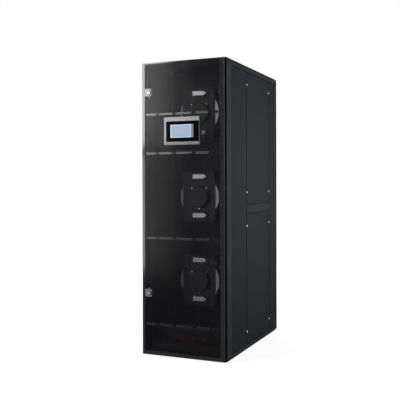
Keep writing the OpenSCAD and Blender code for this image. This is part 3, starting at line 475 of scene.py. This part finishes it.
bezel_low, bezel_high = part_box("display_bezel")
BEZEL_UP = 8 * MM
LOCK_HOLE = (17 * MM, 18 * MM)
BEZEL = (bezel_low.x + 6 * MM, bezel_low.z + BEZEL_UP, bezel_high.x, bezel_high.z + BEZEL_UP - 3 * MM)
WINDOW = (BEZEL[0] + 16 * MM, BEZEL[1] + 20.5 * MM, BEZEL[2] - 3 * MM, BEZEL[3] - 29 * MM)
COVER = 3 * MM
LOCK_NAMES = ("upper", "lower")
fronts = [around(middle(f"front_lock_{k}"), *LOCK_HOLE) for k in LOCK_NAMES]
rears = [around(middle(f"rear_lock_{k}"), *LOCK_HOLE) for k in LOCK_NAMES]
hex_sheet("front_hex_sheet", "front_door_mesh", "front_door",
          [(WINDOW[0] - COVER, WINDOW[1] - COVER, WINDOW[2] + COVER, WINDOW[3] + COVER)] + fronts)
hex_sheet("rear_hex_sheet", "rear_door_mesh", "rear_door", rears)

# Stiffening bars behind the sheets: folded lengths held by dark buffers. The lengths next to the hinges and
# those of the
# lower bars are darker: painted shade, on copies of one bar paint.
bars_low, bars_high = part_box("front_door_stiffeners")
BAR_ZS = (219 * MM, 805 * MM, 1380 * MM, 1645 * MM)
BAR_HALF = 7.5 * MM
BAR_START = 14 * MM
BAR_WALL = 1.5 * MM
BUFFER_XS = (-187 * MM, -65 * MM, 78 * MM, 198 * MM)
BUFFER_HALF = 14 * MM
HALF_HEIGHT = 1000 * MM
for end, body in DOORS:
    lengths = Shape()
    shaded_lengths = Shape()
    shaded_ends = Shape()
    buffers = Shape()
    front_y = bars_low.y + 0.1 * MM
    for z in BAR_ZS:
        edges = [bars_low.x + BAR_START]
        for x in BUFFER_XS:
            edges += [x - BUFFER_HALF, x + BUFFER_HALF]
            buffers.box((x - BUFFER_HALF + 1 * MM, bars_low.y + 4 * MM, z - BAR_HALF + 1 * MM),
                        (x + BUFFER_HALF - 1 * MM, bars_high.y, z + BAR_HALF - 1 * MM))
        edges.append(bars_high.x)
        for x0, x1 in zip(edges[::2], edges[1::2]):
            # Lower lengths and those next to the hinges take darker paint: painted shade.
            folded = shaded_ends if x1 == bars_high.x else lengths if z > HALF_HEIGHT else shaded_lengths
            z0, z1 = z - BAR_HALF, z + BAR_HALF
            folded.box((x0, front_y, z0), (x1, front_y + BAR_WALL, z1))
            folded.box((x0, front_y + BAR_WALL, z0), (x1, bars_high.y, z0 + BAR_WALL))
            folded.box((x0, front_y + BAR_WALL, z1 - BAR_WALL), (x1, bars_high.y, z1))
    parts = [lengths.make(f"{end}_bars", paint_bar, body, "bar_paint"),
             shaded_lengths.make(f"{end}_low_bars", paint_bar_shaded, body, "bar_paint"),
             buffers.make(f"{end}_bar_buffers", foam, body, "black_plastic", bevel=1 * MM),
             shaded_ends.make(f"{end}_bar_ends", paint_bracket, body, "bar_paint")]
    put_on_door(end, parts)
    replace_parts(parts[0], f"{end}_door_stiffeners")

# Lock escutcheons: a plate with soft edges, and a round collar in a dark groove that sits off-centre to the
# right, a painted shadow of the collar on that side.
LOCK_X = -250 * MM
LOCK_ZS = (1794 * MM, 430 * MM)
GROOVE_SHADOW_SHIFT = 4 * MM
PLATE_X = (-280 * MM, -230 * MM)
PLATE_UP = 28 * MM
PLATE_DOWN = 25 * MM
GROOVE = profile((15, 0), (15, 0.4), (9, 0.4), (9, 0), (15, 0))
COLLAR = profile((11.4, -30), (11.4, -3), (12.4, -3), (12.4, 0.9), (12, 1.5), (10.6, 1.75),
                 (8.6, 1.75), (8.3, 1.2), (8.3, -30), (11.4, -30))
plates_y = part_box("front_lock_plates")[0].y + 0.8 * MM
for end, body in DOORS:
    plate = Shape()
    collar = Shape()
    groove = Shape()
    for z in LOCK_ZS:
        outline = rounded_rect(PLATE_X[0], z - PLATE_DOWN, PLATE_X[1], z + PLATE_UP, 4 * MM)
        plate.prism(outline, plates_y, plates_y + 3.2 * MM)
        # The groove sits off-centre to the right: a painted shadow of the collar.
        groove.lathe(GROOVE, (LOCK_X + GROOVE_SHADOW_SHIFT, plates_y, z), (0, -1, 0), 40)
        collar.lathe(COLLAR, (LOCK_X, plates_y, z), (0, -1, 0), 40)
    parts = [plate.make(f"{end}_lock_escutcheons", lock_plate, body, "bright_steel", bevel=0.8 * MM),
             groove.make(f"{end}_lock_groove_shadows", foam, body, "black_plastic", smooth=True),
             collar.make(f"{end}_lock_collars", lock_plate, body, "bright_steel", smooth=True)]
    put_on_door(end, parts)
    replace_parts(parts[0], f"{end}_lock_plates")


# ------------------------------------------------------------------ display
face_y = bezel_low.y

# Bezel: its four sides slope back to the sheet, and meet in mitred corners.
bezel = Shape()


def bezel_ring(box, radius, y):
    return [(p[0], y, p[1]) for p in rounded_rect(*box, radius, 4)]


def inset_box(box, d):
    return (box[0] + d, box[1] + d, box[2] - d, box[3] - d)


loops = [bezel_ring(BEZEL, 5 * MM, face_y + 4.9 * MM), bezel_ring(BEZEL, 5 * MM, face_y + 2.8 * MM),
         bezel_ring(inset_box(BEZEL, 1 * MM), 4.5 * MM, face_y + 2 * MM),
         bezel_ring(inset_box(WINDOW, -2 * MM), 3 * MM, face_y + 0.1 * MM),
         bezel_ring(WINDOW, 2 * MM, face_y + 0.1 * MM), bezel_ring(WINDOW, 2 * MM, face_y + 4.9 * MM)]
count = len(loops[0])
verts = [v for loop in loops for v in loop]
faces = []
for a in range(len(loops)):
    b = (a + 1) % len(loops)
    for k in range(count):
        m = (k + 1) % count
        faces.append((a * count + k, a * count + m, b * count + m, b * count + k))
bezel.add(verts, faces)
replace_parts(bezel.make("display_brushed_bezel", brushed, "front_door", "silver_bezel"), "display_bezel")


def slab(name, box, radius, y0, y1, finish, slot):
    """A flat slab facing -Y with round corners."""
    shape = Shape()
    shape.prism(rounded_rect(*box, radius), y0, y1)
    return shape.make(name, finish, "front_door", slot)


slab("display_glass", inset_box(WINDOW, 0.2 * MM), 2 * MM, face_y + 0.9 * MM, face_y + 4 * MM, glass_black,
     "black_plastic")
# The lit screen: its middle, a brighter edge, and a dimmer strip at the right.
screen_blue = glowing("screen_blue", (0.40, 0.50, 0.61), 0.82)
screen_edge = glowing("screen_edge", (0.50, 0.64, 0.78), 0.95)
screen_dim = glowing("screen_dim", (0.30, 0.38, 0.46), 0.45)
LCD = (-87 * MM, 1482 * MM, 80 * MM, 1569 * MM)
DIM = 17 * MM
slab("screen_glow_dim", LCD, 2 * MM, face_y + 0.72 * MM, face_y + 1.5 * MM, screen_dim, "black_plastic")
slab("screen_glow_edge", (LCD[0], LCD[1], LCD[2] - DIM, LCD[3]), 2 * MM, face_y + 0.6 * MM, face_y + 1.5 * MM,
     screen_edge, "black_plastic")
slab("screen_glow", (LCD[0] + 8 * MM, LCD[1] + 6 * MM, LCD[2] - DIM - 5 * MM, LCD[3] - 6 * MM), 1 * MM,
     face_y + 0.5 * MM, face_y + 1.5 * MM, screen_blue, "black_plastic")


# ---------------------------------------------------------- cabinet details
# Quarter-turn fasteners of the side panels: domed heads with a round recess.
screws_low, screws_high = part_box("side_panel_screws")
upper_low, upper_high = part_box("side_upper_panels")
lower_low, lower_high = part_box("side_lower_panels")
HEAD_R = 5 * MM
PANEL_END = 90 * MM
SEAM_HALF = 1.5 * MM
screw_zs = [z for low, high in ((lower_low, lower_high), (upper_low, upper_high))
            for z in (low.z - SEAM_HALF + PANEL_END, high.z + SEAM_HALF - PANEL_END)]
HEAD = profile((7, 0), (7, 0.3), (6, 0.8), (4, 1.1), (1.6, 1.15), (1.3, 0.5), (0, 0.5))
heads = Shape()
for side in (-1, 1):
    x = side * (screws_high.x - 1.2 * MM)
    for y in (screws_low.y + HEAD_R, screws_high.y - HEAD_R):
        for z in screw_zs:
            heads.lathe(HEAD, (x, y, z), (side, 0, 0), 24)
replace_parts(heads.make("side_screw_heads", bright, "cabinet", "bright_steel", smooth=True),
            "side_panel_screws")

# Fan brackets: a flange folded forward on the left edge, a lip on the right edge, and three bright
# screws round each motor.
brackets_low, brackets_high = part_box("fan_brackets")
fan_zs = [middle(f"impeller_{k}").z for k in ("lower", "middle", "upper")]
FLANGE = (3 * MM, 9 * MM, 160 * MM)
LIP = (9 * MM, 1.5 * MM, 165 * MM)
LIP_LAP = 2 * MM
SCREW_CIRCLE = 82 * MM
SCREW_ANGLES = (-42, 42, 180)
SCREW = profile((4, 0), (4, 2), (3.2, 3.2), (0, 3.6))
flanges = Shape()
lips = Shape()
screws = Shape()
for z in fan_zs:
    flanges.box((brackets_low.x, brackets_low.y - FLANGE[1], z - FLANGE[2]),
                (brackets_low.x + FLANGE[0], brackets_low.y, z + FLANGE[2]))
    lips.box((brackets_high.x - LIP_LAP, brackets_low.y - LIP[1], z - LIP[2]),
             (brackets_high.x + LIP[0], brackets_low.y, z + LIP[2]))
    for a in SCREW_ANGLES:
        at = (SCREW_CIRCLE * sin(radians(a)), brackets_low.y - 4 * MM, z + SCREW_CIRCLE * cos(radians(a)))
        screws.lathe(SCREW, at, (0, -1, 0), 16)
lips.make("bracket_lips", paint_bracket, "cabinet", "galvanised", bevel=0.8 * MM)
flanges.make("bracket_flanges", paint_bracket, "cabinet", "galvanised", bevel=0.8 * MM)
screws.make("motor_screws", screw_grey, "cabinet", "bright_steel", smooth=True)

# Impellers: the flat flange that stiffens each back disc's rim.
RIM_WIDE = 32 * MM
RIM_BEHIND = 5.6 * MM
for k in ("upper", "middle", "lower"):
    low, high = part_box(f"impeller_{k}")
    rim = Shape()
    rim_r = (high.x - low.x) / 2
    rim.lathe([(rim_r, 0), (rim_r, 1 * MM), (rim_r - RIM_WIDE, 1 * MM), (rim_r - RIM_WIDE, 0), (rim_r, 0)],
              (0, brackets_low.y + RIM_BEHIND, middle(f"impeller_{k}").z), (0, -1, 0), 64)
    rim.make(f"impeller_rim_{k}", rim_grey, f"fan_{k}", "impeller_grey", smooth=True)

# Pull handles: a bowed strap of thick sheet, cut to a point at its right end.
handles_low, handles_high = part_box("fan_handles")
HANDLE_HALF = 15 * MM
HANDLE_OFF = 136 * MM
HANDLE_UP = (12 * MM, 7 * MM, -1 * MM)
POINT = ((20 * MM, HANDLE_HALF), (8 * MM, HANDLE_HALF * 0.6), (0, HANDLE_HALF * 0.12))
STRAP = 3 * MM
RIGHT_LEG = 33 * MM
x0, x1 = handles_low.x, handles_high.x
y0, y1 = handles_low.y, brackets_low.y
straps = Shape()
for z, up in zip(fan_zs, HANDLE_UP):
    for side in (-1, 1):
        zc = z + up + side * HANDLE_OFF
        bottom, top = zc - HANDLE_HALF, zc + HANDLE_HALF
        face = [(x0, bottom)] + [(x1 - back, zc - half) for back, half in POINT]
        face += [(x1 - back, zc + half) for back, half in reversed(POINT)] + [(x0, top)]
        straps.prism(face, y0, y0 + STRAP)
        straps.box((x0, y0 + STRAP, bottom), (x0 + STRAP, y1, top))
        straps.box((x1 - RIGHT_LEG - STRAP, y0 + STRAP, bottom), (x1 - RIGHT_LEG, y1, top))
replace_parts(straps.make("pull_handles", handle_grey, "cabinet", "handle_grey", bevel=1 * MM), "fan_handles")

# Side covers: dark strips round each, painted shadow along the seams.
EDGE = 4 * MM
EDGE_RAISED = 0.3 * MM
seam_shadow_strips = Shape()
for cover in ("side_front_panels", "side_upper_panels", "side_lower_panels", "side_rear_panels"):
    low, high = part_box(cover)
    for x0, x1 in ((high.x, high.x + EDGE_RAISED), (low.x - EDGE_RAISED, low.x)):
        seam_shadow_strips.box((x0, low.y, low.z), (x1, low.y + EDGE, high.z))
        seam_shadow_strips.box((x0, high.y - EDGE, low.z), (x1, high.y, high.z))
        seam_shadow_strips.box((x0, low.y + EDGE, low.z), (x1, high.y - EDGE, low.z + EDGE * 0.6))
        seam_shadow_strips.box((x0, low.y + EDGE, high.z - EDGE), (x1, high.y - EDGE, high.z))
seam_shadow_strips.make("side_cover_seam_shadows", foam, "cabinet", "gasket_foam")

# Lamps: a domed lens in each.
LENS = profile((8, -2), (8, 0), (6, 0), (6, 1.4), (4, 1.9), (0, 2))
LAMP_RADIUS = 8 * MM
MIDDLE_LAMP_X = 9 * MM
lamps_low, lamps_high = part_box("phase_lamps")
lenses = Shape()
for x in (lamps_low.x + LAMP_RADIUS, MIDDLE_LAMP_X, lamps_high.x - LAMP_RADIUS):
    lenses.lathe(LENS, (x, lamps_low.y + 2 * MM, middle("phase_lamps").z), (0, -1, 0), 24)
lenses.make("lamp_lenses", red_lens, "cabinet", "red_lens", smooth=True)


# ------------------------------------------------- stage, lights and camera
def make_stage():
    """A pale floor: white to the camera and in reflections, with the object's shadow on it, and emission
    lowered near the object as a painted shadow.
    """
    half = 30
    verts = [(-half, -half, 0), (half, -half, 0), (half, half, 0), (-half, half, 0)]
    mesh = bpy.data.meshes.new("floor")
    mesh.from_pydata(verts, [], [(0, 1, 2, 3)])
    floor = bpy.data.objects.new("floor", mesh)
    bpy.context.scene.collection.objects.link(floor)
    mat, tree, shader = new_material("floor")
    shader.inputs["Base Color"].default_value = (0.35, 0.35, 0.35, 1)
    shader.inputs["Roughness"].default_value = 1.0
    shader.inputs["Specular IOR Level"].default_value = 0.0
    shader.inputs["Emission Color"].default_value = (1, 1, 1, 1)
    coords = tree.nodes.new("ShaderNodeTexCoord")
    away = node(tree, "ShaderNodeVectorMath", operation="LENGTH")
    tree.links.new(coords.outputs["Object"], away.inputs[0])
    # Emission lower within a few metres of the object: a painted shadow round it.
    glow = node(tree, "ShaderNodeMapRange", From_Min=1.2, From_Max=3.0, To_Min=0.9, To_Max=1.0)
    tree.links.new(away.outputs["Value"], glow.inputs["Value"])
    lit = node(tree, "ShaderNodeMath", operation="MULTIPLY")
    tree.links.new(glow.outputs["Result"], lit.inputs[1])
    tree.links.new(seen_ray(tree), lit.inputs[0])
    tree.links.new(lit.outputs[0], shader.inputs["Emission Strength"])
    mesh.materials.append(mat)


def seen_ray(tree):
    """1 for camera, glossy and transmission rays, 0 for the rest."""
    path = tree.nodes.new("ShaderNodeLightPath")
    first = node(tree, "ShaderNodeMath", operation="MAXIMUM")
    both = node(tree, "ShaderNodeMath", operation="MAXIMUM")
    tree.links.new(path.outputs["Is Camera Ray"], first.inputs[0])
    tree.links.new(path.outputs["Is Glossy Ray"], first.inputs[1])
    tree.links.new(first.outputs[0], both.inputs[0])
    tree.links.new(path.outputs["Is Transmission Ray"], both.inputs[1])
    return both.outputs[0]


def make_world(light):
    """A white surround, which lights the object with a part of its strength."""
    world = bpy.data.worlds.new("surround")
    bpy.context.scene.world = world
    world.use_nodes = True
    tree = world.node_tree
    back = tree.nodes["Background"]
    back.inputs["Color"].default_value = (1, 1, 1, 1)
    strength = node(tree, "ShaderNodeMapRange", To_Min=light, To_Max=1.0)
    tree.links.new(seen_ray(tree), strength.inputs["Value"])
    tree.links.new(strength.outputs["Result"], back.inputs["Strength"])


def area_light(name, place, target, size, power, spread=180):
    """A soft rectangular lamp that points at a target."""
    lamp = bpy.data.lights.new(name, "AREA")
    lamp.shape = "RECTANGLE"
    lamp.size, lamp.size_y = size
    lamp.energy = power
    lamp.spread = radians(spread)
    made = bpy.data.objects.new(name, lamp)
    made.location = place
    made.rotation_euler = (Vector(target) - Vector(place)).to_track_quat("-Z", "Y").to_euler()
    bpy.context.scene.collection.objects.link(made)


def make_camera():
    """The viewing angle of the reference: in front, to the right, at just over a metre."""
    data = bpy.data.cameras.new("camera")
    data.sensor_width = 36
    data.lens = 63.39
    data.shift_x = 0.1
    data.shift_y = -0.0375
    made = bpy.data.objects.new("camera", data)
    made.location = (1.87, -4.902, 1.178)
    made.rotation_euler = (radians(89.854), radians(0.161), radians(25.317))
    bpy.context.scene.collection.objects.link(made)
    bpy.context.scene.camera = made


make_stage()
make_world(0.1)
area_light("key_upper", (-1.92, -3.3, 2.35), (-0.1, -0.6, 1.9), (1.0, 1.5), 26, 80)
area_light("key_lower", (-1.92, -3.3, 0.85), (-0.1, -0.6, 0.9), (1.0, 1.3), 8.5, 80)
area_light("fill", (3.2, -0.2, 1.42), (0.3, 0, 1.25), (1.2, 1.2), 11, 60)
area_light("back", (-1.5, 4.2, 3.0), (0, 0.6, 1.2), (2.0, 2.0), 90)
make_camera()
bpy.context.scene.view_settings.view_transform = "Standard"
